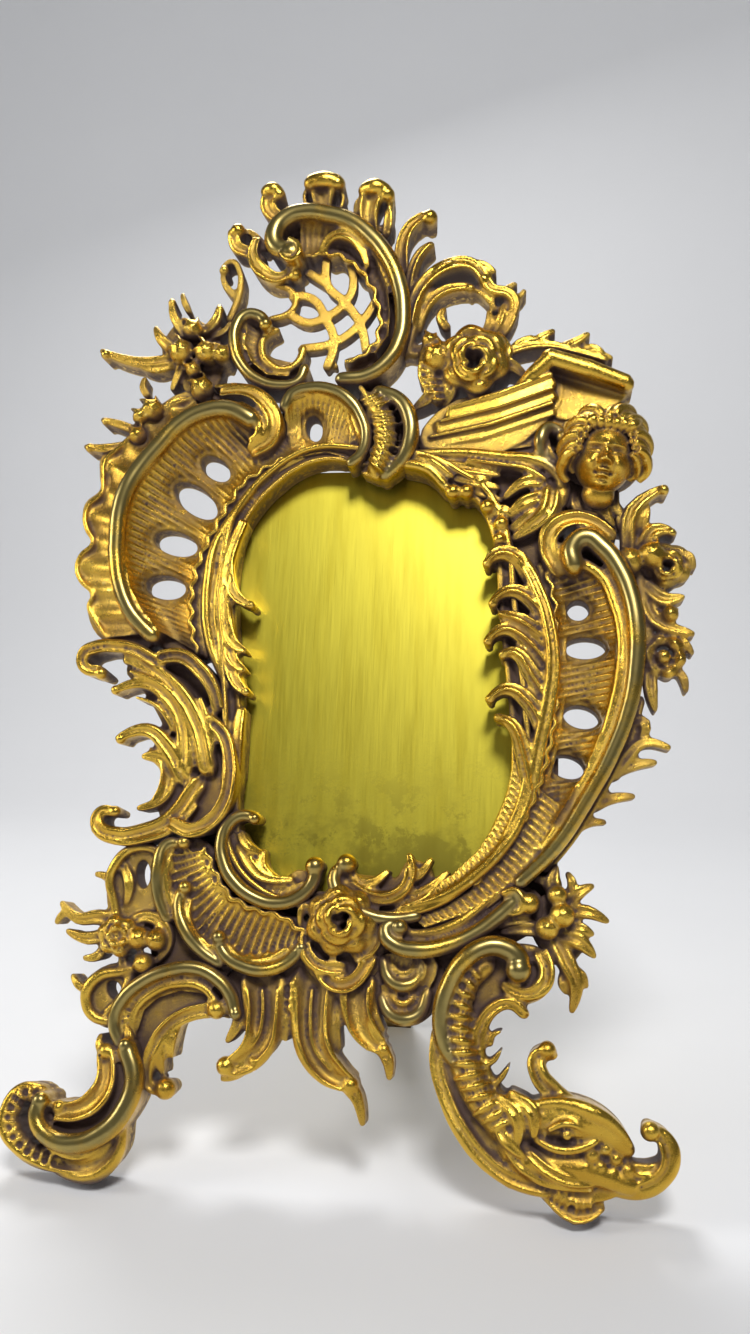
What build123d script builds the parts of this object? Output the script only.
from build123d import *
import os
from math import cos, pi, radians, sin, tan

# An ornate gilt easel frame. A deep sight rim with a flat flange carries scrolled, shelled and
# flowered castings, a brass plate slides up out of channels behind it, and a hinged strut holds
# it leaning back. Millimetres, +Z up, front towards -Y, standing on Z = 0.

os.makedirs("parts", exist_ok=True)

# Overall size and the stance of the frame
face_height = 357.0
face_height_pixels = 1050.0
lean_angle = 16.0
strut_swing = 20.0

# How the photograph sees the leaning face: from the right of it and a little above
centre_pixel = (375.0, 667.0)
lens_pixels = 1150.0
view_turn = 8.9
view_drop = 3.0

# Crest heights of the castings above their flat back
rail_crest = 20.0
crown_crest = 17.0
shell_crest = 15.0
scroll_crest = 16.0
leaf_crest = 11.0
sprig_crest = 9.0
bud_crest = 14.0
rose_crest = 20.0
rim_crest = 13.0
bar_crest = 9.0
foot_crest = 20.0
head_crest = 28.0
wing_crest = 18.0
cornice_crest = 22.0
dish_height = 10.0
bed_height = 8.0

# The flange of the sight rim and the hardware behind it
flange_thickness = 3.0
flange_left = -54.8
flange_right = 61.8
flange_bottom = -84.5
flange_top = 76.0
flange_crown_radius = 30.0
flange_foot_radius = 12.0
seat_gap = 0.1
plate_left = -50.0
plate_right = 57.0
plate_bottom = -80.0
plate_top = 71.0
plate_thickness = 1.2
plate_crown_radius = 24.0
plate_foot_radius = 2.0
running_gap = 0.3
channel_lip = 2.5
channel_lip_thickness = 1.5
channel_bottom = -78.0
channel_top = 57.0
guide_inset = 0.3
stop_length = 60.0
strap_bottom = 40.0
strap_width = 16.0
strap_thickness = 2.0
screw_diameter = 2.0
screw_head_diameter = 3.8
screw_head_height = 1.2
screw_depth = 2.4
screw_clearance = 0.1
low_screw_height = -62.0
hinge_across = -8.0
hinge_standoff = 5.2
pin_diameter = 3.0
pin_clearance = 0.15
pin_head_diameter = 5.0
pin_head_length = 1.2
lug_thickness = 3.0
lug_gap = 0.25
knuckle_radius = 3.8
knuckle_length = 14.0
strut_thickness = 3.0
strut_shoulder = 5.0
strut_shoulder_width = 30.0
strut_shoulder_radius = 6.0
strut_foot_width = 17.0
strut_slot_width = 7.0
strut_slot_top = 28.0
strut_slot_length = 105.0
heel_gap = 0.1
sole_height = 3.0
cut_overrun = 60.0

# Profiles across a casting as shares of its half width and of its crest height
rail_profile_shares = [(-1, 0), (-1, 0.75), (-0.6, 1), (0.6, 1), (1, 0.75), (1, 0)]
leaf_profile_shares = [(-1, 0), (-1, 0.62), (0, 1), (1, 0.62), (1, 0)]
bar_profile_shares = [(-1, 0), (-1, 1), (1, 1), (1, 0)]
bud_top_share = 0.6
petal_top_share = 0.78
petal_notch_share = 0.78
heart_share = 0.48
head_height_shares = (0, 0.62, 0.88, 1)
head_radius_shares = (1, 1, 0.76, 0.36)
even_shares = (1, 1, 1)
falling_shares = (1, 0.95, 0.7)
rising_shares = (0.7, 0.95, 1)
bud_sides = 6
oval_sides = 10
screw_sides = 10

# Directions of the leaning face and of the view
pixel_size = face_height / face_height_pixels
across = Vector(1, 0, 0)
upward = Vector(0, sin(radians(lean_angle)), cos(radians(lean_angle)))
outward = Vector(0, -cos(radians(lean_angle)), sin(radians(lean_angle)))
view_back = Vector(
    sin(radians(view_turn)) * cos(radians(view_drop)),
    -cos(radians(view_turn)) * cos(radians(view_drop)),
    sin(radians(view_drop)),
)
view_right = Vector(cos(radians(view_turn)), sin(radians(view_turn)), 0)
view_up = view_back.cross(view_right)
eye = view_back * (lens_pixels * pixel_size)


def on_face(spot, height):
    """Where on the face, across and up it, the photograph shows a pixel at a height above the back."""
    ray = view_right * ((spot[0] - centre_pixel[0]) / lens_pixels)
    ray -= view_up * ((spot[1] - centre_pixel[1]) / lens_pixels) + view_back
    reach = (height - eye.dot(outward)) / ray.dot(outward)
    place = eye + ray * reach
    return place.X, place.dot(upward)


# Floor, sides and depth of the whole part, which set where the face stands
sole_pixel = (75, 1177)
left_end_pixel = (1, 1116)
right_end_pixel = (692, 633)
sole_up = on_face(sole_pixel, sole_height)[1]
floor_drop = sole_up * cos(radians(lean_angle)) + sole_height * sin(radians(lean_angle))
hinge_up = strap_bottom + strap_width / 2
channel_depth = running_gap + plate_thickness + running_gap + channel_lip_thickness
hinge_back = channel_depth + strap_thickness + hinge_standoff
pin_height = hinge_up * upward.Z - hinge_back * outward.Z - floor_drop
pin_depth = hinge_up * upward.Y - hinge_back * outward.Y
strut_reach = pin_height * tan(radians(strut_swing)) + strut_thickness / cos(radians(strut_swing))
front_depth = sole_up * upward.Y + foot_crest * outward.Y
sideways = -(on_face(left_end_pixel, leaf_crest)[0] + on_face(right_end_pixel, sprig_crest)[0]) / 2
backward = -(front_depth + pin_depth + strut_reach) / 2
face_origin = Vector(sideways, backward, -floor_drop)
face_plane = Plane(origin=face_origin, x_dir=across, z_dir=outward)
column_height = head_crest + cut_overrun

footprints = []


def face_spot(spot, height):
    """The pixel's place on the face as a point of the sketch plane."""
    return Vector(*on_face(spot, height))


def between(values, share):
    """A value along a stroke that is named at its start, middle and end."""
    first, middle, last = values
    if share < 0.5:
        return first + (middle - first) * 2 * share
    return middle + (last - middle) * (2 * share - 1)


def stroke(pixels, widths, crest, rises=even_shares, profile=leaf_profile_shares, base=0):
    """Loft one scroll, leaf or bar through sections set square to its traced line."""
    spots = [face_spot(spot, crest) for spot in pixels]
    sections = []
    for index, spot in enumerate(spots):
        before = spots[max(index - 1, 0)]
        after = spots[min(index + 1, len(spots) - 1)]
        ahead = (spot - before).normalized() if index else (after - spot).normalized()
        if 0 < index < len(spots) - 1:
            ahead = (ahead + (after - spot).normalized()).normalized()
        share = index / (len(spots) - 1)
        half_width = between(widths, share) * pixel_size
        height = crest * between(rises, share)
        along = across * ahead.X + upward * ahead.Y
        origin = face_origin + across * spot.X + upward * spot.Y + outward * base
        with BuildSketch(Plane(origin=origin, x_dir=outward.cross(along), z_dir=along)) as section:
            with BuildLine():
                Polyline(*[(half_width * x, (height - base) * y) for x, y in profile], close=True)
            make_face()
        sections.append(section.sketch)
    loft(sections, ruled=True)


def rail(pixels, widths, crest, rises=even_shares):
    """A scroll with a flat crest and two chamfered flanks."""
    stroke(pixels, widths, crest, rises, rail_profile_shares)


def bud(pixel, radius_pixels, crest, sides=bud_sides):
    """A faceted bud, berry or scroll end that draws in towards its crest."""
    radius = radius_pixels * pixel_size
    with BuildSketch(face_plane) as foot:
        with Locations(face_spot(pixel, crest)):
            RegularPolygon(radius, sides)
    with BuildSketch(face_plane.offset(crest)) as top:
        with Locations(face_spot(pixel, crest)):
            RegularPolygon(radius * bud_top_share, sides)
    loft([foot.sketch, top.sketch], ruled=True)


def petals(centre, radius, count):
    """A ring of petals: an outline that runs from tip to notch, in the active sketch."""
    corners = []
    for index in range(2 * count):
        reach = radius * (petal_notch_share if index % 2 else 1)
        angle = pi * index / count
        corners.append((centre.X + reach * cos(angle), centre.Y + reach * sin(angle)))
    Polygon(*corners, align=None)


def flower(pixel, radius_pixels, crest, count, heart_crest):
    """An open flower: a ring of petals that draws in, and a proud heart."""
    centre = face_spot(pixel, crest)
    radius = radius_pixels * pixel_size
    with BuildSketch(face_plane) as foot:
        petals(centre, radius, count)
    with BuildSketch(face_plane.offset(crest)) as top:
        petals(centre, radius * petal_top_share, count)
    loft([foot.sketch, top.sketch], ruled=True)
    bud(pixel, radius_pixels * heart_share, heart_crest)


def bed(pixels, front):
    """A flat ground between scrolls, inside one closed outline."""
    with BuildSketch(face_plane) as ground:
        with BuildLine():
            Polyline(*[face_spot(spot, front) for spot in pixels], close=True)
        make_face()
    extrude(ground.sketch, amount=front)


def oval(centre, half_width, half_height, turn=0):
    """A faceted oval, turned in the plane of the face, in the active sketch."""
    angles = [2 * pi * index / oval_sides for index in range(oval_sides)]
    corners = [(half_width * cos(angle), half_height * sin(angle)) for angle in angles]
    with Locations(Location((centre.X, centre.Y, 0), (0, 0, turn))):
        Polygon(*corners, align=None)


def pierce(pixel, half_sizes, turn, front):
    """An oval hole right through a ground."""
    with BuildSketch(face_plane) as hole:
        oval(face_spot(pixel, front), half_sizes[0] * pixel_size, half_sizes[1] * pixel_size, turn)
    extrude(hole.sketch, amount=column_height, mode=Mode.SUBTRACT)


def back_faces(part):
    """The flat faces that a casting has in the plane of its back."""
    faces = part.faces().filter_by(Axis(face_origin, outward))
    return [face for face in faces if abs((face.center() - face_origin).dot(outward)) < seat_gap / 2]


def boxes_meet(first, second):
    """True where two bounding boxes overlap."""
    a, b = first.bounding_box(), second.bounding_box()
    apart = a.min.X > b.max.X or b.min.X > a.max.X or a.min.Z > b.max.Z or b.min.Z > a.max.Z
    return not apart


def flange_outline():
    """The rounded outline of the flange, its crown corners wider than its foot corners."""
    sides = (flange_left, flange_right, flange_bottom, flange_top)
    rounded_panel(*sides, flange_crown_radius, flange_foot_radius)


def rounded_panel(left, right, bottom, top, crown_radius, foot_radius):
    """A face-high rectangle with two radii, drawn in the active sketch."""
    with Locations(((left + right) / 2, (bottom + top) / 2)):
        panel = Rectangle(right - left, top - bottom)
    corners = panel.vertices().group_by(Axis.Y)
    fillet(corners[-1], crown_radius)
    fillet(corners[0], foot_radius)


def rails(table, crest, rises=even_shares):
    """Every scroll of a table of traced lines and half widths in pixels."""
    for line, half_widths in table:
        rail(line, half_widths, crest, rises)


def leaves(table, crest, rises=falling_shares, base=0):
    """Every leaf of a table of traced lines and half widths in pixels."""
    for line, half_widths in table:
        stroke(line, half_widths, crest, rises, leaf_profile_shares, base)


def buds(table, crest):
    """Every bud of a table of traced centres and radii in pixels."""
    for centre, radius in table:
        bud(centre, radius, crest)


def clear_fronts(part):
    """Cut away what the castings in front fill."""
    for front_faces in footprints:
        near = [face for face in front_faces if boxes_meet(face, part.part)]
        if near:
            extrude(near, amount=column_height, dir=outward, mode=Mode.SUBTRACT)


def seat(part):
    """Cut away what the castings in front fill, keep one piece and note the ground that it covers."""
    clear_fronts(part)
    pieces = part.part.solids().sort_by(SortBy.VOLUME)
    if len(pieces) > 1:
        add(pieces[-1], mode=Mode.REPLACE)
    footprints.append(back_faces(part.part))


def cut_sole():
    """Cut the active part flat where it stands."""
    with BuildSketch(Plane.XY) as floor:
        Rectangle(2 * face_height, 2 * face_height)
    extrude(floor.sketch, amount=-cut_overrun, mode=Mode.SUBTRACT)


def finish(part, label):
    """Name a piece and write it out."""
    part.part.label = label
    export_step(part.part, f"parts/{label}.step")


def clear_flange():
    """Seat a casting on the flange: nothing of it reaches lower there or into the plate's well."""
    with BuildSketch(face_plane) as pocket:
        flange_outline()
    extrude(pocket.sketch, amount=flange_thickness + seat_gap, mode=Mode.SUBTRACT)


# Cherub's head, prouder than every other casting, with a wreath of curls round the face
head_pixel = (602, 452)
head_radius_pixels = 30
head_long_share = 1.28
hair_pixel = (604, 442)
hair_radius_pixels = 42
hair_curls = 9
hair_crest = 21.0
nose_pixels = [([(604, 442), (606, 454), (607, 462)], (3, 4, 5))]
nose_crest = 29.5
with BuildPart() as cherub_head:
    sections = []
    for height_share, radius_share in zip(head_height_shares, head_radius_shares):
        radius = head_radius_pixels * pixel_size * radius_share
        with BuildSketch(face_plane.offset(head_crest * height_share)) as section:
            oval(face_spot(head_pixel, head_crest), radius, radius * head_long_share)
        sections.append(section.sketch)
    loft(sections, ruled=True)
    flower(hair_pixel, hair_radius_pixels, hair_crest, hair_curls, hair_crest)
    leaves(nose_pixels, nose_crest, rising_shares)
    seat(cherub_head)
finish(cherub_head, "cherub_head")


# Upper rose: a cupped heart in a ring of petals, with a bud and a twisted stem at its left
upper_rose_pixel = (473, 357)
upper_rose_radius_pixels = 33
rose_petals = 6
side_bud_pixels = [((436, 350), 15)]
rose_stem_pixels = [
    ([(428, 352), (427, 374), (438, 400)], (8, 9, 7)),
    ([(438, 382), (428, 396), (416, 406)], (7, 7, 5)),
    ([(492, 362), (508, 362), (526, 377)], (7, 7, 4)),
]
with BuildPart() as upper_rose:
    flower(upper_rose_pixel, upper_rose_radius_pixels, shell_crest, rose_petals, rose_crest)
    buds(side_bud_pixels, bud_crest)
    leaves(rose_stem_pixels, leaf_crest)
    seat(upper_rose)
    clear_flange()
finish(upper_rose, "upper_rose")


# Lower rose: the same flower under the opening, over crescent petals
lower_rose_pixel = (339, 922)
lower_rose_radius_pixels = 34
lower_crescent_pixels = [
    ([(304, 938), (308, 956), (322, 968), (340, 968)], (5, 6, 5)),
    ([(318, 964), (330, 982), (350, 982), (369, 958)], (6, 6, 6)),
]
with BuildPart() as lower_rose:
    flower(lower_rose_pixel, lower_rose_radius_pixels, scroll_crest, rose_petals, rose_crest)
    rails(lower_crescent_pixels, bud_crest)
    seat(lower_rose)
    clear_flange()
finish(lower_rose, "lower_rose")


# Crown knot: a ribbed roll and a plain strand that bind the hood to the crown of the rim
knot_strand_pixels = [([(378, 389), (396, 395), (408, 412), (409, 438), (400, 458), (384, 472)], (6, 7, 5))]
knot_roll_pixels = [([(366, 399), (378, 408), (384, 425), (383, 445), (374, 464)], (7, 9, 6))]
knot_ground_pixels = [(370, 392), (400, 398), (408, 425), (398, 455), (378, 468), (370, 440)]
with BuildPart() as crown_knot:
    bed(knot_ground_pixels, bed_height)
    rails(knot_strand_pixels, rail_crest)
    rails(knot_roll_pixels, crown_crest)
    seat(crown_knot)
    clear_flange()
finish(crown_knot, "crown_knot")


# Cherub's wing: a polished shoulder, two rows of feathers and the scroll that ends the cornice
wing_shoulder_pixels = [
    ([(416, 453), (460, 452), (505, 456), (535, 458), (555, 469), (564, 486), (560, 500)], (5, 6, 7)),
    ([(560, 431), (548, 426), (541, 436), (542, 450), (550, 462)], (5, 6, 5)),
]
feather_pixels = [
    ([(552, 492), (546, 510), (531, 524), (514, 538)], (10, 9, 4)),
    ([(438, 463), (470, 468), (497, 474)], (4, 7, 4)),
    ([(450, 478), (475, 481), (495, 486)], (4, 6, 4)),
    ([(542, 482), (522, 482), (506, 495)], (6, 6, 3)),
    ([(540, 498), (522, 502), (508, 515)], (6, 6, 3)),
]
wing_ground_pixels = [
    (425, 458), (500, 458), (548, 468), (558, 492), (548, 520), (524, 536), (508, 520), (500, 498), (470, 484)
]
with BuildPart() as cherub_wing:
    bed(wing_ground_pixels, bed_height)
    rails(wing_shoulder_pixels, wing_crest)
    leaves(feather_pixels, scroll_crest)
    seat(cherub_wing)
    clear_flange()
finish(cherub_wing, "cherub_wing")


# Collar: the plume under the cherub's chin that stands on the right shell
collar_plume_pixels = [
    ([(578, 490), (577, 504), (586, 516)], (5, 6, 6)),
    ([(591, 492), (594, 504), (598, 516)], (5, 6, 6)),
    ([(604, 494), (603, 508), (612, 522)], (5, 6, 6)),
]
collar_ground_pixels = [(568, 470), (600, 488), (612, 500), (622, 528), (604, 524), (575, 516), (566, 500)]
with BuildPart() as cherub_collar:
    bed(collar_ground_pixels, bed_height)
    leaves(collar_plume_pixels, leaf_crest, rising_shares)
    seat(cherub_collar)
    add(cherub_head.part, mode=Mode.SUBTRACT)
finish(cherub_collar, "cherub_collar")


# Broken pediment: a round top moulding over a stepped cornice, turned at its corner
pediment_ground_pixels = [
    (424, 446), (438, 412), (524, 374), (553, 350), (626, 372), (622, 386), (572, 416),
    (553, 414)
]
pediment_roll_pixels = [([(526, 382), (553, 358), (590, 368), (624, 380)], (10, 12, 9))]
pediment_step_pixels = [
    ([(447, 414), (500, 398), (553, 379), (612, 392)], (4, 4, 4)),
    ([(436, 427), (500, 412), (553, 393), (590, 404)], (6, 7, 5)),
]
pediment_foot_pixels = [([(420, 444), (480, 434), (553, 410), (570, 416)], (5, 5, 4))]
with BuildPart() as pediment:
    with BuildSketch(face_plane) as pediment_ground:
        with BuildLine():
            Polyline(*[face_spot(spot, leaf_crest) for spot in pediment_ground_pixels], close=True)
        make_face()
    extrude(pediment_ground.sketch, amount=leaf_crest)
    rails(pediment_roll_pixels, cornice_crest)
    rails(pediment_step_pixels, wing_crest)
    rails(pediment_foot_pixels, shell_crest)
    seat(pediment)
    clear_flange()
finish(pediment, "pediment")


# Pediment leaf: a thin spray that lies along the top moulding
pediment_leaf_pixels = [
    ([(494, 358), (518, 347), (545, 343), (575, 349), (604, 358)], (6, 5, 5)),
    ([(530, 343), (542, 336), (553, 331)], (5, 5, 2)),
    ([(560, 345), (574, 341), (587, 334)], (4, 5, 2)),
    ([(582, 351), (592, 347), (601, 350)], (6, 7, 3)),
]
with BuildPart() as pediment_leaf:
    leaves(pediment_leaf_pixels, sprig_crest, even_shares)
    seat(pediment_leaf)
finish(pediment_leaf, "pediment_leaf")


# Crown scroll: the great C of the crest, its inner crescent, the ledge at its left and four knobs
crown_rail_pixels = [
    (
        [
            (288, 247), (274, 243), (271, 229), (282, 214), (303, 207), (326, 209), (348, 215), (369, 230),
            (387, 252), (399, 281), (402, 311), (399, 336), (386, 358), (364, 373), (340, 376)
        ],
        (9, 8, 6),
    )
]
crown_crescent_pixels = [
    (
        [
            (296, 267), (306, 256), (323, 252), (343, 255), (361, 269), (375, 291), (381, 318), (376, 342),
            (361, 356), (347, 361)
        ],
        (3, 3, 5),
    )
]
crown_dish_pixels = [
    (292, 262), (300, 235), (325, 220), (352, 228), (378, 252), (392, 285), (394, 320), (384, 348),
    (356, 368),
    (352, 356), (372, 344), (381, 318), (374, 290), (358, 266), (330, 253)
]
crown_ledge_pixels = [([(256, 236), (253, 254), (261, 269), (277, 277), (290, 270)], (4, 7, 5))]
crown_knob_pixels = [
    ([(323, 206), (323, 190), (323, 174)], (12, 14, 13)),
    ([(373, 226), (370, 208), (375, 187)], (8, 11, 14)),
    ([(276, 217), (267, 202), (274, 189)], (8, 8, 9)),
]
crown_curl_pixels = [
    ([(264, 262), (249, 251), (236, 245), (235, 230)], (6, 7, 8)),
    ([(264, 246), (256, 236), (248, 231)], (5, 4, 3)),
    ([(388, 236), (388, 216), (391, 203)], (6, 4, 2)),
    ([(401, 268), (401, 244), (410, 224), (425, 214)], (7, 7, 5)),
]
crown_ball_pixels = [((288, 247), 12), ((294, 272), 7)]
with BuildPart() as crown_scroll:
    bed(crown_dish_pixels, bed_height)
    rails(crown_rail_pixels, crown_crest)
    rails(crown_crescent_pixels, leaf_crest)
    rails(crown_ledge_pixels, bud_crest)
    leaves(crown_knob_pixels, bud_crest, rising_shares)
    leaves(crown_curl_pixels, leaf_crest, even_shares)
    buds(crown_ball_pixels, bud_crest)
    seat(crown_scroll)
finish(crown_scroll, "crown_scroll")


# Crown shell: the small open scroll that stands on the hood, with the thin stem at its left
crown_shell_rail_pixels = [
    (
        [
            (265, 320), (256, 312), (243, 313), (235, 325), (234, 344), (241, 362), (257, 377), (279, 383),
            (297, 379), (303, 367)
        ],
        (5, 5, 4),
    )
]
crown_shell_rim_pixels = [
    ([(276, 329), (264, 336), (261, 350), (269, 363), (284, 368), (298, 361), (302, 348)], (4, 5, 5))
]
crown_shell_ground_pixels = [
    (250, 316), (240, 336), (245, 358), (262, 374), (284, 380), (300, 368), (284, 364), (268, 356), (262, 340)
]
crown_stem_pixels = [([(222, 267), (231, 261), (239, 271), (240, 286), (236, 302), (230, 318)], (3, 4, 5))]
with BuildPart() as crown_shell:
    bed(crown_shell_ground_pixels, bed_height)
    rails(crown_shell_rail_pixels, shell_crest)
    rails(crown_shell_rim_pixels, leaf_crest)
    rails(crown_stem_pixels, sprig_crest)
    seat(crown_shell)
finish(crown_shell, "crown_shell")


# Crown trellis: the pierced lattice of flat bars inside the crown scroll
trellis_bar_pixels = [
    [(328, 257), (327, 284), (345, 302), (360, 323), (363, 346)],
    [(314, 276), (327, 284)],
    [(296, 296), (312, 298), (325, 317), (334, 342), (328, 361)],
    [(294, 315), (307, 322), (325, 317), (345, 302), (353, 286), (350, 266)],
    [(305, 346), (334, 342), (360, 323), (371, 303)],
]
trellis_hook_pixels = [(278, 284), (290, 289), (295, 301), (288, 313), (270, 318)]
trellis_link_pixels = [[(333, 365), (328, 358)], [(302, 348), (310, 346)]]
trellis_half_width = 1.2
trellis_back = 4.0
with BuildPart() as crown_trellis:
    bar_pixels = trellis_half_width / pixel_size
    bar_widths = (bar_pixels, bar_pixels, bar_pixels)
    for line in (*trellis_bar_pixels, trellis_hook_pixels, *trellis_link_pixels):
        stroke(line, bar_widths, bar_crest, even_shares, bar_profile_shares, trellis_back)
    seat(crown_trellis)
finish(crown_trellis, "crown_trellis")


# Crown sprig: the leafy branch that arches from the crown over to the upper rose
sprig_branch_pixels = [
    ([(403, 348), (409, 326), (413, 300), (428, 276), (450, 262), (470, 262), (484, 276)], (9, 7, 7)),
    ([(484, 274), (494, 286), (508, 291), (515, 303), (509, 317), (498, 332)], (7, 5, 5)),
    ([(415, 330), (426, 302), (443, 288), (466, 286)], (7, 7, 6)),
    ([(411, 292), (413, 268), (421, 251), (431, 244)], (5, 7, 5)),
    ([(403, 348), (420, 348), (432, 340)], (8, 8, 6)),
]
sprig_leaf_pixels = [
    ([(484, 336), (488, 324), (489, 312)], (6, 5, 4)),
    ([(490, 334), (498, 320), (503, 305)], (6, 5, 3)),
    ([(500, 336), (508, 325), (516, 312)], (5, 5, 2)),
    ([(502, 292), (508, 288), (515, 284)], (4, 4, 3)),
]
with BuildPart() as crown_sprig:
    leaves(sprig_branch_pixels, leaf_crest, even_shares)
    leaves(sprig_leaf_pixels, sprig_crest)
    seat(crown_sprig)
finish(crown_sprig, "crown_sprig")


# Top hood: a hooded niche with an oval hole over the left of the opening
hood_rail_pixels = [
    (
        [
            (284, 407), (290, 392), (307, 385), (328, 386), (347, 396), (360, 414), (365, 436), (360, 452),
            (350, 461)
        ],
        (5, 6, 5),
    )
]
hood_ground_pixels = [
    (286, 412), (300, 396), (325, 392), (348, 406), (360, 430), (354, 456), (330, 450), (300, 456),
    (282, 464), (280, 440)
]
hood_hole_pixel = (314, 428)
hood_hole_half_pixels = (9, 13)
hood_hole_turn = 10
with BuildPart() as top_hood:
    bed(hood_ground_pixels, dish_height)
    pierce(hood_hole_pixel, hood_hole_half_pixels, hood_hole_turn, dish_height)
    rails(hood_rail_pixels, crown_crest)
    seat(top_hood)
    clear_flange()
finish(top_hood, "top_hood")


# Left shell: a long polished rail, a scalloped outer edge and a fluted dish with four pierced ovals
left_rail_pixels = [
    (
        [
            (250, 416), (227, 405), (200, 407), (176, 420), (155, 442), (138, 464), (125, 485), (117, 508),
            (114, 534),
            (114, 560), (119, 588), (131, 613), (150, 633)
        ],
        (8, 7, 5),
    )
]
left_volute_pixels = [
    ([(222, 392), (246, 391), (264, 402), (273, 420), (268, 438), (256, 446)], (4, 6, 8)),
    ([(240, 403), (254, 415), (256, 432)], (5, 6, 4)),
]
left_wave_pixels = [
    (
        [
            (300, 452), (270, 464), (243, 482), (224, 509), (208, 540), (196, 568), (191, 597), (191, 626),
            (195, 652)
        ],
        (4, 4, 4),
    )
]
left_edge_pixels = [
    (198, 396), (155, 412), (128, 440), (105, 456), (103, 474), (103, 489), (87, 503), (86, 524), (92, 540),
    (79, 558),
    (78, 574), (93, 592), (91, 612), (104, 635), (150, 645), (128, 600), (116, 550), (122, 500), (148, 450),
    (190, 412)
]
left_dish_pixels = [
    (250, 420), (205, 410), (170, 430), (142, 462), (122, 505), (117, 550), (124, 592), (142, 626),
    (168, 645),
    (193, 650), (190, 612), (196, 568), (212, 534), (235, 490), (270, 464), (285, 445), (272, 425)
]
left_hole_pixels = [
    ((215, 468), (17, 11)), ((195, 500), (25, 14)), ((175, 543), (22, 13)), ((165, 587), (20, 13))
]
left_hole_turns = (-38, -38, -17, -8)
with BuildPart() as left_shell:
    bed(left_edge_pixels, leaf_crest)
    bed(left_dish_pixels, dish_height)
    for (centre, half_sizes), turn in zip(left_hole_pixels, left_hole_turns):
        pierce(centre, half_sizes, turn, dish_height)
    rails(left_rail_pixels, rail_crest)
    rails(left_volute_pixels, crown_crest)
    rails(left_wave_pixels, rim_crest)
    seat(left_shell)
    clear_flange()
finish(left_shell, "left_shell")


# Left flowers: the spray of round buds and strap leaves at the upper left
left_flower_pixels = [
    ((178, 346), 12), ((204, 347), 11), ((221, 350), 9), ((191, 325), 10), ((200, 384), 11),
    ((190, 364), 7)
]
left_flower_leaf_pixels = [
    ([(184, 332), (172, 316), (172, 299)], (6, 5, 4)),
    ([(198, 334), (214, 322), (219, 305)], (6, 7, 4)),
    ([(172, 358), (145, 361), (120, 358), (101, 350)], (8, 6, 4)),
    ([(174, 350), (162, 338), (156, 327)], (8, 6, 3)),
    ([(174, 360), (156, 367), (142, 366)], (7, 6, 2)),
    ([(182, 364), (173, 388)], (6, 6, 6)),
    ([(214, 352), (232, 345)], (7, 6, 5)),
    ([(198, 372), (206, 392), (220, 398)], (8, 7, 5)),
]
left_flower_ground_pixels = [
    (170, 335), (190, 322), (212, 338), (218, 356), (204, 392), (190, 390), (182, 368),
    (168, 360)
]
with BuildPart() as left_flowers:
    bed(left_flower_ground_pixels, bed_height)
    buds(left_flower_pixels, bud_crest)
    leaves(left_flower_leaf_pixels, sprig_crest)
    seat(left_flowers)
finish(left_flowers, "left_flowers")


# Left sprig: the smaller buds and leaves on the outer edge of the left shell
left_sprig_bud_pixels = [((148, 405), 10), ((139, 413), 8), ((136, 432), 8)]
left_sprig_leaf_pixels = [
    ([(168, 410), (150, 416), (132, 440), (116, 458)], (6, 8, 5)),
    ([(136, 432), (118, 424), (103, 420)], (5, 5, 2)),
    ([(128, 444), (106, 447), (86, 446)], (5, 5, 3)),
    ([(160, 412), (172, 402), (186, 398)], (5, 5, 4)),
]
with BuildPart() as left_sprig:
    buds(left_sprig_bud_pixels, bud_crest)
    leaves(left_sprig_leaf_pixels, sprig_crest)
    seat(left_sprig)
finish(left_sprig, "left_sprig")


# Right shell: the long rail of the right side, its volute, a fluted dish with four holes and a ribbed tail
right_rail_pixels = [
    (
        [
            (574, 562), (572, 545), (585, 535), (604, 545), (620, 566), (631, 592), (637, 628), (636, 666),
            (629, 706),
            (612, 752), (586, 800), (556, 846), (522, 880)
        ],
        (9, 7, 6),
    )
]
right_volute_pixels = [
    ([(558, 566), (549, 548), (553, 529), (571, 518), (593, 521), (610, 534)], (9, 8, 6))
]
right_wave_pixels = [
    (
        [
            (547, 572), (555, 602), (556, 645), (556, 692), (551, 735), (543, 772), (527, 812), (503, 850),
            (474, 884)
        ],
        (4, 4, 4),
    )
]
right_dish_pixels = [
    (574, 560), (606, 566), (624, 610), (625, 668), (608, 735), (578, 790), (545, 845), (508, 888),
    (470, 912),
    (425, 928), (412, 915), (446, 905), (480, 885), (510, 850), (535, 808), (549, 758), (556, 700),
    (556, 640), (548, 588)
]
right_hole_pixels = [
    ((578, 610), (12, 11)), ((585, 648), (21, 12)), ((581, 717), (18, 12)), ((567, 767), (18, 12))
]
right_hole_turns = (0, 0, -14, -18)
with BuildPart() as right_shell:
    bed(right_dish_pixels, dish_height)
    for (centre, half_sizes), turn in zip(right_hole_pixels, right_hole_turns):
        pierce(centre, half_sizes, turn, dish_height)
    rails(right_rail_pixels, rail_crest)
    rails(right_volute_pixels, wing_crest)
    rails(right_wave_pixels, rim_crest)
    seat(right_shell)
    clear_flange()
finish(right_shell, "right_shell")


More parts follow.
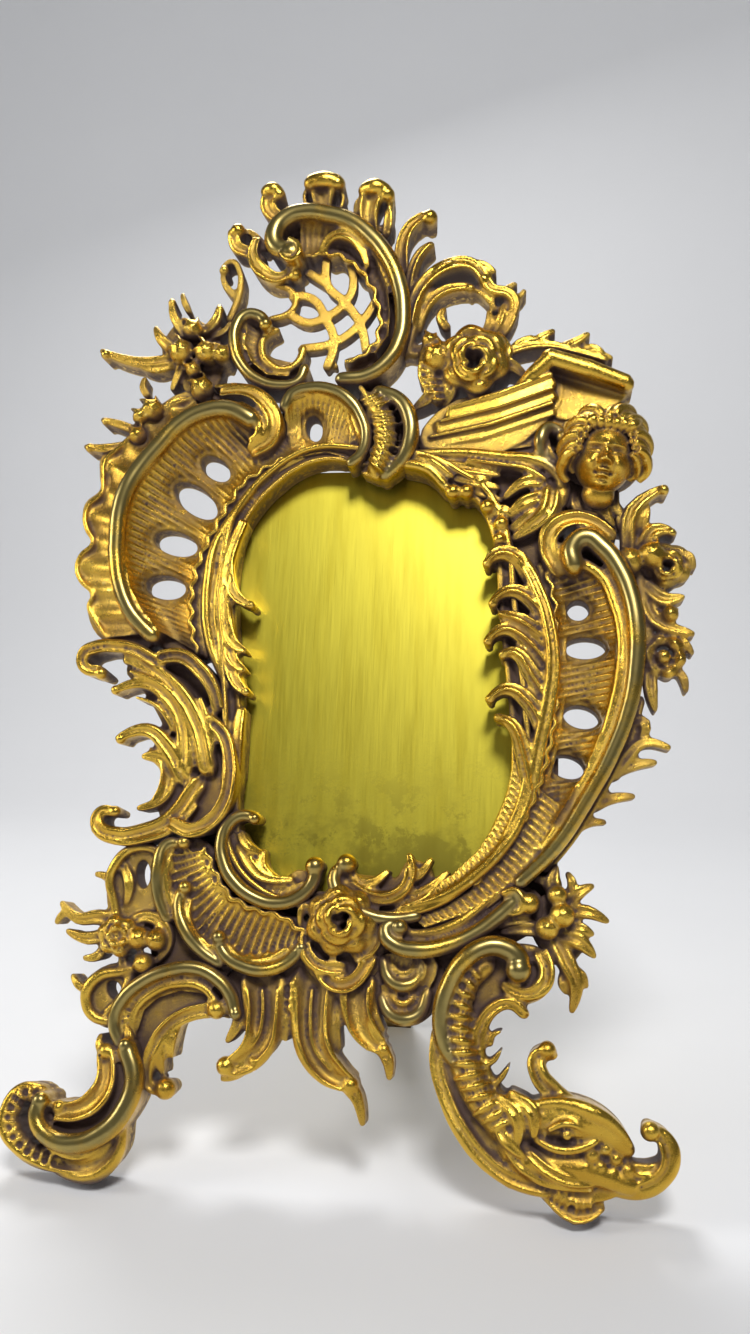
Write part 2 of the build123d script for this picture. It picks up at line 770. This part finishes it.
# Right garland: round buds, a rose, a flower and leaves along the upper edge of the right shell
garland_bud_pixels = [((629, 556), 12), ((653, 552), 12)]
garland_rose_pixel = (667, 564)
garland_rose_radius_pixels = 23
garland_flower_pixel = (664, 655)
garland_flower_radius_pixels = 24
garland_petals = 5
garland_leaf_pixels = [
    ([(629, 548), (634, 508), (665, 487)], (8, 8, 4)),
    ([(640, 532), (645, 516), (648, 508)], (6, 6, 3)),
    ([(644, 546), (656, 530), (674, 532)], (9, 9, 3)),
    ([(646, 584), (664, 597), (682, 596)], (7, 9, 3)),
    ([(644, 592), (656, 618), (692, 633)], (8, 9, 3)),
    ([(650, 664), (651, 690), (655, 708)], (8, 7, 3)),
]
garland_strand_pixels = [([(634, 556), (643, 600), (650, 662)], (9, 8, 8))]
with BuildPart() as right_garland:
    leaves(garland_strand_pixels, sprig_crest)
    buds(garland_bud_pixels, bud_crest)
    flower(garland_rose_pixel, garland_rose_radius_pixels, leaf_crest, garland_petals, bud_crest)
    flower(garland_flower_pixel, garland_flower_radius_pixels, sprig_crest, garland_petals, leaf_crest)
    leaves(garland_leaf_pixels, sprig_crest)
    seat(right_garland)
finish(right_garland, "right_garland")


# Right sprigs: three small leaves on a strip along the lower edge of the right shell
right_sprig_pixels = [
    ([(638, 700), (628, 735), (612, 768), (592, 804), (568, 842), (545, 870)], (7, 6, 5)),
    ([(630, 722), (645, 724), (640, 740)], (6, 6, 5)),
    ([(614, 775), (628, 756), (645, 743), (668, 747)], (6, 6, 4)),
    ([(612, 774), (636, 764), (654, 762)], (6, 5, 4)),
    ([(594, 806), (612, 798), (632, 796)], (6, 5, 3)),
]
with BuildPart() as right_sprigs:
    leaves(right_sprig_pixels, sprig_crest)
    seat(right_sprigs)
    clear_flange()
finish(right_sprigs, "right_sprigs")


# Right sight leaf: a stem up the right of the opening whose six tips curl over the plate
right_stem_pixels = [
    (
        [
            (500, 546), (522, 562), (538, 592), (549, 627), (553, 665), (548, 705), (541, 742), (532, 782)
        ],
        (6, 7, 7),
    )
]
right_tip_pixels = [
    ([(528, 574), (510, 553), (494, 554), (487, 563)], (8, 7, 5)),
    ([(546, 622), (528, 597), (508, 590), (493, 600)], (8, 8, 4)),
    ([(544, 638), (521, 621), (501, 613)], (7, 6, 3)),
    ([(548, 665), (524, 637), (503, 628), (487, 640)], (9, 8, 4)),
    ([(548, 702), (530, 671), (515, 653), (502, 653)], (9, 7, 4)),
    ([(544, 732), (528, 702), (506, 688), (489, 698)], (9, 8, 4)),
    ([(530, 790), (522, 748), (511, 724), (497, 717)], (8, 7, 5)),
]
tip_base = 5.0
with BuildPart() as right_sight_leaf:
    leaves(right_stem_pixels, scroll_crest, even_shares)
    leaves(right_tip_pixels, shell_crest, even_shares, tip_base)
    seat(right_sight_leaf)
    clear_flange()
finish(right_sight_leaf, "right_sight_leaf")


# Left sight leaf: a slimmer stem up the left of the opening with five short tips
left_stem_pixels = [([(242, 522), (230, 553), (225, 586), (225, 620), (230, 655), (238, 686)], (5, 6, 7))]
left_tip_pixels = [
    ([(228, 578), (236, 595), (249, 604)], (6, 6, 3)),
    ([(226, 610), (232, 626), (242, 633)], (6, 5, 3)),
    ([(226, 630), (232, 645), (243, 649)], (6, 5, 3)),
    ([(229, 650), (234, 662), (240, 668)], (6, 5, 3)),
    ([(230, 670), (236, 684), (243, 691)], (7, 6, 4)),
]
with BuildPart() as left_sight_leaf:
    leaves(left_stem_pixels, shell_crest, even_shares)
    leaves(left_tip_pixels, bud_crest, even_shares, tip_base)
    seat(left_sight_leaf)
    clear_flange()
finish(left_sight_leaf, "left_sight_leaf")


# Left acanthus: the big leaf at the left, its tips rolled over and its stem ending in a curl
acanthus_lobe_pixels = [
    ([(98, 670), (84, 667), (83, 654), (95, 646), (113, 645), (133, 648), (154, 660)], (5, 6, 6)),
    ([(160, 656), (180, 655), (198, 668), (211, 686), (216, 706)], (7, 7, 6)),
    (
        [
            (208, 718), (222, 733), (228, 756), (228, 781), (222, 804), (207, 822), (190, 829), (172, 824)
        ],
        (6, 7, 7),
    ),
]
acanthus_rib_pixels = [
    ([(206, 764), (196, 726), (176, 692), (151, 669), (126, 660)], (10, 10, 5)),
    ([(184, 764), (181, 722), (166, 696), (141, 682), (114, 690)], (9, 9, 4)),
    ([(182, 774), (166, 746), (145, 729), (118, 738)], (9, 9, 5)),
    ([(172, 776), (158, 758), (143, 757)], (9, 8, 4)),
    ([(168, 776), (164, 790), (157, 801), (139, 808)], (9, 7, 3)),
    ([(196, 784), (168, 819), (141, 831), (113, 834), (97, 825), (99, 813), (112, 811)], (10, 9, 6)),
]
acanthus_ground_pixels = [
    (158, 668), (190, 694), (205, 735), (207, 790), (184, 816), (164, 802), (166, 770), (172, 745),
    (164, 712), (148, 690)
]
with BuildPart() as left_acanthus:
    bed(acanthus_ground_pixels, bed_height)
    rails(acanthus_lobe_pixels, scroll_crest)
    leaves(acanthus_rib_pixels, bud_crest)
    seat(left_acanthus)
    clear_flange()
finish(left_acanthus, "left_acanthus")


# Left sight scroll: the C under the lower left corner of the opening
left_scroll_rail_pixels = [
    (
        [
            (254, 817), (240, 815), (228, 822), (221, 840), (222, 862), (233, 882), (252, 896), (275, 902),
            (297, 896), (311, 883), (315, 867)
        ],
        (5, 6, 6),
    )
]
left_scroll_tip_pixels = [([(240, 846), (250, 866), (262, 876), (290, 880)], (6, 6, 4))]
left_scroll_ground_pixels = [
    (232, 845), (250, 850), (262, 872), (285, 879), (302, 872), (306, 886), (285, 898), (258, 894), (236, 876)
]
left_scroll_end_pixels = [((313, 866), 10)]
with BuildPart() as left_sight_scroll:
    bed(left_scroll_ground_pixels, dish_height)
    rails(left_scroll_rail_pixels, scroll_crest)
    leaves(left_scroll_tip_pixels, rim_crest)
    buds(left_scroll_end_pixels, shell_crest)
    seat(left_sight_scroll)
    clear_flange()
finish(left_sight_scroll, "left_sight_scroll")


# Right sight scroll: its partner to the right of the lower rose, with two ribbed leaves
right_scroll_rail_pixels = [
    ([(343, 866), (334, 873), (334, 887), (345, 902), (365, 914), (390, 919), (415, 916)], (5, 6, 5))
]
right_scroll_leaf_pixels = [
    ([(346, 878), (362, 892), (385, 898), (402, 890), (411, 874), (410, 856)], (6, 7, 4)),
    ([(350, 876), (368, 884), (386, 872)], (5, 5, 4)),
    ([(392, 902), (412, 898), (430, 888), (446, 874)], (6, 7, 4)),
]
right_scroll_ground_pixels = [
    (344, 880), (372, 878), (396, 880), (412, 862), (430, 880), (418, 908), (392, 916), (362, 910), (342, 896)
]
right_scroll_end_pixels = [((345, 864), 10)]
with BuildPart() as right_sight_scroll:
    bed(right_scroll_ground_pixels, dish_height)
    rails(right_scroll_rail_pixels, scroll_crest)
    leaves(right_scroll_leaf_pixels, rim_crest)
    buds(right_scroll_end_pixels, shell_crest)
    seat(right_sight_scroll)
    clear_flange()
finish(right_sight_scroll, "right_sight_scroll")


# Lower band: a polished band that sweeps in under the opening from the right and ends in a curl
band_rail_pixels = [
    (
        [
            (399, 926), (387, 926), (384, 933), (394, 945), (415, 950), (445, 946), (475, 933), (501, 913),
            (516, 898)
        ],
        (5, 7, 6),
    )
]
band_ridge_pixels = [([(394, 931), (420, 934), (450, 926), (480, 906), (506, 884)], (5, 6, 6))]
band_ball_pixels = [((529, 903), 10), ((516, 896), 8)]
with BuildPart() as lower_band:
    rails(band_rail_pixels, crown_crest)
    rails(band_ridge_pixels, rim_crest)
    buds(band_ball_pixels, shell_crest)
    seat(lower_band)
    clear_flange()
finish(lower_band, "lower_band")


# Lower cups: the stacked cups between the apron and the right foot
cup_rim_pixels = [
    ([(383, 961), (388, 978), (402, 986), (417, 979), (423, 961)], (5, 5, 5)),
    ([(424, 954), (431, 967), (426, 984)], (5, 6, 5)),
    ([(381, 998), (388, 1013), (404, 1019), (420, 1011), (427, 993)], (5, 5, 5)),
]
cup_ground_pixels = [
    (380, 952), (405, 958), (434, 950), (440, 975), (432, 1000), (424, 1014), (405, 1022),
    (386, 1012), (377, 990)
]
with BuildPart() as lower_cups:
    bed(cup_ground_pixels, bed_height)
    rails(cup_rim_pixels, leaf_crest)
    seat(lower_cups)
    clear_flange()
finish(lower_cups, "lower_cups")


# Lower shell: three scrolled lobes under the lower left corner of the opening
shell_lobe_pixels = [
    ([(180, 842), (164, 846), (157, 866), (157, 892), (165, 918)], (5, 6, 5)),
    ([(182, 888), (177, 906), (184, 930), (198, 948), (216, 962)], (5, 6, 5)),
    ([(216, 938), (224, 955), (243, 967), (264, 970), (284, 963), (300, 948)], (5, 6, 5)),
]
shell_ground_pixels = [
    (170, 846), (205, 845), (216, 880), (240, 905), (280, 916), (304, 932), (288, 955), (255, 964),
    (226, 958),
    (198, 942), (176, 915), (163, 890)
]
with BuildPart() as lower_shell:
    bed(shell_ground_pixels, leaf_crest)
    rails(shell_lobe_pixels, shell_crest)
    seat(lower_shell)
    clear_flange()
finish(lower_shell, "lower_shell")


# Lower left flower: a flower, its buds and leaves, hung between two open loops
flower_core_pixel = (116, 936)
flower_core_radius_pixels = 18
flower_bud_pixels = [((135, 938), 10), ((153, 940), 9), ((140, 962), 10)]
flower_leaf_pixels = [
    ([(118, 920), (96, 918), (76, 918), (62, 904)], (8, 7, 5)),
    ([(106, 934), (86, 937), (68, 931)], (7, 6, 3)),
    ([(134, 920), (148, 918), (162, 926), (166, 944), (156, 960)], (6, 6, 5)),
]
flower_loop_pixels = [
    ([(160, 852), (146, 847), (127, 850), (114, 863), (108, 881), (112, 899), (116, 922)], (5, 5, 5)),
    ([(148, 850), (150, 876), (156, 905), (156, 930)], (5, 5, 5)),
    ([(136, 968), (118, 972), (100, 975), (87, 986), (84, 1001), (91, 1015), (107, 1021)], (6, 6, 6)),
    ([(132, 966), (126, 984), (120, 998), (106, 1012)], (5, 5, 5)),
]
with BuildPart() as lower_left_flower:
    flower(flower_core_pixel, flower_core_radius_pixels, bud_crest, garland_petals, scroll_crest)
    buds(flower_bud_pixels, bud_crest)
    leaves(flower_leaf_pixels, sprig_crest)
    leaves(flower_loop_pixels, leaf_crest, even_shares)
    seat(lower_left_flower)
    clear_flange()
finish(lower_left_flower, "lower_left_flower")


# Left arch: the double hoop that joins the left foot to the apron, with a branching leaf in it
arch_rail_pixels = [
    (
        [
            (118, 1044), (113, 1022), (120, 1001), (140, 982), (165, 971), (192, 968), (214, 978),
            (229, 996), (234, 1014)
        ],
        (6, 6, 6),
    )
]
arch_leaf_pixels = [
    ([(132, 1038), (134, 1014), (152, 992), (178, 984), (204, 988), (216, 1006)], (5, 6, 6)),
    ([(214, 1010), (186, 1015), (165, 1029), (151, 1050), (145, 1070), (148, 1086), (163, 1091)], (7, 6, 7)),
    ([(164, 1030), (158, 1050), (160, 1070)], (7, 5, 3)),
    ([(178, 1018), (170, 1038), (170, 1055)], (6, 5, 3)),
]
arch_ground_pixels = [
    (122, 1035), (118, 1008), (146, 986), (190, 974), (222, 992), (226, 1010), (204, 1000),
    (175, 998), (148, 1012), (136, 1034)
]
arch_bud_pixels = [((214, 1010), 10)]
with BuildPart() as left_arch:
    bed(arch_ground_pixels, bed_height)
    rails(arch_rail_pixels, shell_crest)
    leaves(arch_leaf_pixels, leaf_crest)
    buds(arch_bud_pixels, rim_crest)
    seat(left_arch)
finish(left_arch, "left_arch")


# Left foot: a heavy scroll that turns under and a shell frill at its outer end
foot_scroll_pixels = [
    (
        [
            (124, 1050), (130, 1080), (118, 1114), (97, 1135), (70, 1144), (46, 1137), (34, 1120),
            (37, 1102)
        ],
        (8, 8, 7),
    ),
    ([(104, 1056), (103, 1080), (92, 1098), (73, 1108), (56, 1108)], (7, 8, 6)),
]
foot_frill_pixels = [
    ([(37, 1093), (21, 1093), (9, 1108), (7, 1128), (18, 1145), (35, 1158), (54, 1165)], (7, 10, 8)),
    ([(46, 1152), (66, 1167), (90, 1168), (110, 1152), (118, 1128)], (10, 15, 7)),
]
foot_bed_pixels = [
    (112, 1050), (116, 1085), (100, 1112), (72, 1124), (48, 1120), (56, 1106), (84, 1098),
    (98, 1080), (100, 1056)
]
with BuildPart() as left_foot:
    bed(foot_bed_pixels, rim_crest)
    rails(foot_scroll_pixels[:1], foot_crest)
    rails(foot_scroll_pixels[1:], scroll_crest)
    leaves(foot_frill_pixels, rim_crest)
    cut_sole()
    seat(left_foot)
finish(left_foot, "left_foot")


# Apron: the hanging leaves under the lower shell
apron_lobe_pixels = [
    ([(262, 986), (262, 1020), (258, 1044), (239, 1065), (221, 1067)], (24, 18, 8)),
    ([(312, 986), (310, 1020), (313, 1050), (329, 1075), (350, 1085)], (24, 20, 8)),
    ([(356, 986), (357, 1015), (363, 1034), (380, 1050)], (20, 15, 7)),
]
apron_tip_pixels = [
    ([(338, 1078), (352, 1092), (358, 1104), (361, 1122)], (7, 7, 3)),
    ([(240, 1000), (238, 1022), (228, 1040)], (7, 7, 3)),
    ([(284, 1000), (282, 1024), (284, 1037)], (7, 6, 3)),
    ([(334, 1000), (334, 1026), (338, 1046)], (7, 6, 3)),
    ([(374, 1040), (387, 1060), (388, 1077)], (7, 6, 3)),
    ([(370, 1000), (374, 1016), (381, 1029)], (6, 5, 3)),
]
apron_ground_pixels = [
    (230, 980), (262, 966), (310, 960), (345, 984), (380, 984), (386, 1002), (360, 1014),
    (300, 1016), (240, 1012)
]
with BuildPart() as apron:
    bed(apron_ground_pixels, bed_height)
    leaves(apron_lobe_pixels, leaf_crest)
    leaves(apron_tip_pixels, sprig_crest)
    seat(apron)
finish(apron, "apron")


# Lower right flower: a flower and its sharp leaves on the shoulder of the right foot
right_flower_bud_pixels = [((547, 928), 10), ((562, 915), 11), ((557, 896), 8)]
right_flower_leaf_pixels = [
    ([(560, 908), (553, 882), (556, 868)], (7, 8, 4)),
    ([(566, 906), (578, 893), (591, 887)], (7, 6, 3)),
    ([(566, 912), (588, 912), (606, 921)], (7, 6, 3)),
    ([(562, 936), (580, 942), (593, 955)], (8, 8, 3)),
    ([(552, 932), (522, 928), (503, 932)], (7, 7, 4)),
    ([(556, 940), (566, 962), (576, 985), (572, 1010)], (9, 9, 4)),
]
right_flower_ground_pixels = [
    (535, 908), (558, 894), (576, 908), (580, 932), (574, 958), (556, 956), (538, 942)
]
with BuildPart() as lower_right_flower:
    bed(right_flower_ground_pixels, bed_height)
    buds(right_flower_bud_pixels, bud_crest)
    leaves(right_flower_leaf_pixels, sprig_crest)
    seat(lower_right_flower)
    clear_flange()
finish(lower_right_flower, "lower_right_flower")


# Right foot: a ribbed dolphin whose back is a C scroll and whose open mouth turns up at the toe
dolphin_scroll_pixels = [
    (
        [
            (518, 972), (517, 958), (504, 948), (485, 947), (464, 960), (448, 985), (440, 1015),
            (443, 1042), (454, 1058)
        ],
        (9, 7, 7),
    )
]
dolphin_body_pixels = [
    ([(486, 964), (465, 986), (459, 1016), (460, 1046), (468, 1076), (484, 1106), (510, 1130)], (11, 15, 16))
]
dolphin_edge_pixels = [
    ([(438, 1036), (438, 1064), (446, 1096), (462, 1130), (486, 1160), (513, 1180), (545, 1190)], (6, 7, 8))
]
dolphin_leaf_pixels = [
    ([(540, 956), (546, 972), (540, 988), (526, 993), (506, 986)], (6, 8, 6)),
    (
        [
            (524, 1014), (511, 1005), (496, 1008), (483, 1024), (478, 1048), (484, 1075), (499, 1098),
            (526, 1112)
        ],
        (5, 7, 8),
    ),
    ([(576, 1112), (553, 1092), (539, 1073), (540, 1059), (552, 1056)], (9, 8, 6)),
]
dolphin_head_pixels = [([(500, 1122), (540, 1128), (580, 1130), (610, 1132), (628, 1148)], (17, 17, 11))]
dolphin_jaw_pixels = [
    ([(508, 1150), (545, 1165), (580, 1170), (612, 1180), (632, 1187)], (13, 14, 10)),
    ([(608, 1186), (640, 1191), (662, 1182), (674, 1160), (668, 1141), (652, 1130)], (9, 7, 6)),
]
dolphin_beard_pixels = [
    ([(552, 1190), (578, 1212), (600, 1208)], (12, 12, 7)),
    ([(622, 1162), (645, 1170), (662, 1166)], (6, 6, 4)),
]
dolphin_ground_pixels = [
    (450, 1040), (475, 1050), (496, 1088), (530, 1112), (580, 1115), (618, 1140), (628, 1180), (600, 1200),
    (556, 1194), (508, 1174), (470, 1140), (448, 1090)
]
with BuildPart() as right_foot:
    bed(dolphin_ground_pixels, bed_height)
    rails(dolphin_scroll_pixels, rail_crest)
    rails(dolphin_body_pixels, crown_crest)
    leaves(dolphin_edge_pixels, scroll_crest)
    leaves(dolphin_leaf_pixels, shell_crest)
    rails(dolphin_head_pixels, foot_crest)
    rails(dolphin_jaw_pixels, crown_crest)
    leaves(dolphin_beard_pixels, leaf_crest)
    cut_sole()
    seat(right_foot)
finish(right_foot, "right_foot")


# The plate and its channels. Heights below zero lie behind the flange, towards the back
guide_front = 0.0
guide_back = -channel_depth
lip_front = guide_back + channel_lip_thickness
plate_front = -running_gap
plate_back = plate_front - plate_thickness
guide_left = flange_left + guide_inset
guide_right = flange_right - guide_inset
web_left = plate_left - running_gap
web_right = plate_right + running_gap
screw_left = (guide_left + web_left) / 2
screw_right = (guide_right + web_right) / 2
stop_bottom = flange_bottom + guide_inset
stop_top = plate_bottom - running_gap
stop_middle = (plate_left + plate_right) / 2
strap_back = guide_back - strap_thickness
strap_top = strap_bottom + strap_width
screw_hole_radius = screw_diameter / 2 + screw_clearance


def slab(left, right, bottom, top, back, front):
    """A flat bar set square on the face between two heights."""
    with BuildSketch(face_plane.offset(back)) as shape:
        with Locations(((left + right) / 2, (bottom + top) / 2)):
            Rectangle(right - left, top - bottom)
    extrude(shape.sketch, amount=front - back)


def drill(spots, front):
    """Screw holes that come from far behind and end at a height."""
    with BuildSketch(face_plane.offset(front)) as holes:
        with Locations(*spots):
            RegularPolygon(screw_hole_radius, screw_sides, major_radius=False)
    extrude(holes.sketch, amount=-cut_overrun, mode=Mode.SUBTRACT)


def screws(spots, head_seat):
    """Pan screws whose heads bear on a surface and whose ends stop inside the flange."""
    with BuildSketch(face_plane.offset(head_seat)) as shanks:
        with Locations(*spots):
            RegularPolygon(screw_diameter / 2, screw_sides)
    extrude(shanks.sketch, amount=screw_depth - head_seat)
    with BuildSketch(face_plane.offset(head_seat)) as heads:
        with Locations(*spots):
            RegularPolygon(screw_head_diameter / 2, screw_sides)
    extrude(heads.sketch, amount=-screw_head_height)


strap_screw_spots = [(screw_left, hinge_up), (screw_right, hinge_up)]
guide_screw_spots = [(screw_left, low_screw_height), (screw_right, low_screw_height)]


# Sight rim: the deep moulding round the opening, on a flat flange that every other casting sits on
opening_pixels = [
    (375, 466), (320, 461), (276, 485), (243, 528), (233, 585), (236, 650), (240, 710), (236, 785),
    (241, 842),
    (300, 888), (395, 898), (458, 872), (500, 812), (513, 745), (505, 660), (498, 560), (476, 500), (430, 472)
]
rim_edge_pixels = [
    (375, 448), (315, 455), (258, 488), (215, 545), (203, 610), (214, 680), (222, 745), (221, 810),
    (240, 868),
    (300, 904), (395, 915), (470, 886), (518, 826), (535, 745), (527, 660), (516, 560), (490, 498), (440, 462)
]
rim_ridge_pixels = [
    (
        [
            (252, 488), (229, 518), (213, 546), (207, 576), (205, 604), (207, 632), (214, 658), (226, 684)
        ],
        (5, 5, 5),
    ),
    (
        [
            (532, 742), (529, 790), (519, 820), (504, 846), (480, 870), (455, 890), (428, 902), (400, 909)
        ],
        (5, 6, 6),
    ),
    ([(404, 462), (428, 468), (444, 484)], (5, 6, 6)),
]
rim_ball_pixels = [((452, 489), 9), ((466, 490), 8), ((486, 505), 8), ((501, 521), 8), ((500, 537), 7)]


rim_middle_pixels = [
    ((inner[0] + outer[0]) / 2, (inner[1] + outer[1]) / 2)
    for inner, outer in zip(opening_pixels, rim_edge_pixels)
]
rim_crown_half_pixels = (6, 5, 6)


def opening_outline():
    """The smooth closed outline of the opening, traced at the crest of the rim."""
    with BuildLine() as outline:
        Spline(*[face_spot(spot, rim_crest) for spot in opening_pixels], periodic=True)
    return outline.edges()


with BuildPart() as sight_rim:
    with BuildSketch(face_plane) as ring:
        with BuildLine():
            Polyline(*[face_spot(spot, rim_crest) for spot in rim_edge_pixels], close=True)
        make_face()
        make_face(opening_outline(), mode=Mode.SUBTRACT)
    extrude(ring.sketch, amount=dish_height)
    rail(rim_middle_pixels + rim_middle_pixels[:2], rim_crown_half_pixels, rim_crest)
    rails(rim_ridge_pixels, shell_crest)
    buds(rim_ball_pixels, shell_crest)
    clear_fronts(sight_rim)
    add(left_sight_leaf.part, mode=Mode.SUBTRACT)
    add(right_sight_leaf.part, mode=Mode.SUBTRACT)
    with BuildSketch(face_plane) as flange:
        flange_outline()
        make_face(opening_outline(), mode=Mode.SUBTRACT)
    extrude(flange.sketch, amount=flange_thickness)
    drill(strap_screw_spots + guide_screw_spots, screw_depth + screw_clearance)
finish(sight_rim, "sight_rim")


# Backing plate: thin brass with an arched top, free to slide up and out of its channels
with BuildPart() as backing_plate:
    with BuildSketch(face_plane.offset(plate_back)) as sheet:
        rounded_panel(plate_left, plate_right, plate_bottom, plate_top, plate_crown_radius, plate_foot_radius)
    extrude(sheet.sketch, amount=plate_thickness)
finish(backing_plate, "backing_plate")


# Left plate guide: a bar screwed to the flange, with a lip that laps behind the edge of the plate
with BuildPart() as left_plate_guide:
    slab(guide_left, web_left, channel_bottom, channel_top, guide_back, guide_front)
    slab(web_left, web_left + channel_lip, channel_bottom, channel_top, guide_back, lip_front)
    drill(strap_screw_spots + guide_screw_spots, guide_front)
finish(left_plate_guide, "left_plate_guide")


# Right plate guide
with BuildPart() as right_plate_guide:
    slab(web_right, guide_right, channel_bottom, channel_top, guide_back, guide_front)
    slab(web_right - channel_lip, web_right, channel_bottom, channel_top, guide_back, lip_front)
    drill(strap_screw_spots + guide_screw_spots, guide_front)
finish(right_plate_guide, "right_plate_guide")


# Plate stop: the same section laid across under the plate
with BuildPart() as plate_stop:
    stop_left = stop_middle - stop_length / 2
    stop_right = stop_middle + stop_length / 2
    slab(stop_left, stop_right, stop_bottom, stop_top, guide_back, guide_front)
    slab(stop_left, stop_right, stop_top, stop_top + channel_lip, guide_back, lip_front)
finish(plate_stop, "plate_stop")


# Hinge strap: a flat bar across the backs of both guides, with two lugs for the pin of the strut
pin_point = face_origin + across * hinge_across + upward * hinge_up - outward * hinge_back
pin_hole_radius = pin_diameter / 2 + pin_clearance
lug_offset = knuckle_length / 2 + lug_gap


def side_plane(distance):
    """The plane square to the hinge pin, at a distance along it."""
    return Plane(origin=pin_point + across * distance, x_dir=upward, z_dir=across)


def pin_hole():
    """The bore of the hinge through the active part."""
    with BuildSketch(side_plane(-strut_shoulder_width)) as bore:
        Circle(pin_hole_radius)
    extrude(bore.sketch, amount=2 * strut_shoulder_width, mode=Mode.SUBTRACT)


with BuildPart() as strut_strap:
    slab(guide_left, guide_right, strap_bottom, strap_top, strap_back, guide_back)
    for start in (-lug_offset - lug_thickness, lug_offset):
        with BuildSketch(side_plane(start)) as lug:
            Circle(knuckle_radius)
            with Locations((0, hinge_standoff / 2)):
                Rectangle(2 * knuckle_radius, hinge_standoff)
        extrude(lug.sketch, amount=lug_thickness)
    pin_hole()
    drill(strap_screw_spots, guide_front)
finish(strut_strap, "strut_strap")


# Hinge pin: a plain pin with a head at each end
pin_reach = lug_offset + lug_thickness
with BuildPart() as hinge_pin:
    with BuildSketch(side_plane(-pin_reach)) as shank:
        Circle(pin_diameter / 2)
    extrude(shank.sketch, amount=2 * pin_reach)
    for side in (-1, 1):
        with BuildSketch(side_plane(side * pin_reach)) as head:
            Circle(pin_head_diameter / 2)
        extrude(head.sketch, amount=side * pin_head_length)
finish(hinge_pin, "hinge_pin")


# Screws: two through the strap and the guides, two short ones low in the guides
with BuildPart() as strap_screws:
    screws(strap_screw_spots, strap_back)
finish(strap_screws, "strap_screws")

with BuildPart() as guide_screws:
    screws(guide_screw_spots, guide_back)
finish(guide_screws, "guide_screws")


# Strut: a tapered slotted leg with a barrel on the pin and a heel that stops on the strap when open
strut_down = Vector(0, sin(radians(strut_swing)), -cos(radians(strut_swing)))
strut_back = Vector(0, cos(radians(strut_swing)), sin(radians(strut_swing)))
opening_angle = radians(lean_angle + strut_swing)
strut_length = pin_height / cos(radians(strut_swing)) + strut_thickness
heel_reach = hinge_standoff - heel_gap - strut_thickness / 2 * cos(opening_angle)
heel_length = heel_reach / sin(opening_angle)
strut_plane = Plane(origin=pin_point - strut_back * (strut_thickness / 2), x_dir=across, z_dir=strut_back)
slot_middle = strut_slot_top + strut_slot_length / 2
strut_outline = [
    (-strut_shoulder_width / 2, strut_shoulder),
    (strut_shoulder_width / 2, strut_shoulder),
    (strut_foot_width / 2, strut_length),
    (-strut_foot_width / 2, strut_length),
]
with BuildPart() as strut:
    with BuildSketch(strut_plane) as leg:
        with BuildLine():
            Polyline(*strut_outline, close=True)
        make_face()
        fillet(leg.vertices().group_by(Axis.Y)[0], strut_shoulder_radius)
        with Locations((0, (strut_shoulder + knuckle_radius - heel_length) / 2)):
            Rectangle(knuckle_length, strut_shoulder + knuckle_radius + heel_length)
        with Locations((0, slot_middle)):
            SlotOverall(strut_slot_length, strut_slot_width, rotation=90, mode=Mode.SUBTRACT)
    extrude(leg.sketch, amount=strut_thickness)
    with BuildSketch(side_plane(-knuckle_length / 2)) as barrel:
        Circle(knuckle_radius)
    extrude(barrel.sketch, amount=knuckle_length)
    pin_hole()
    cut_sole()
finish(strut, "strut")
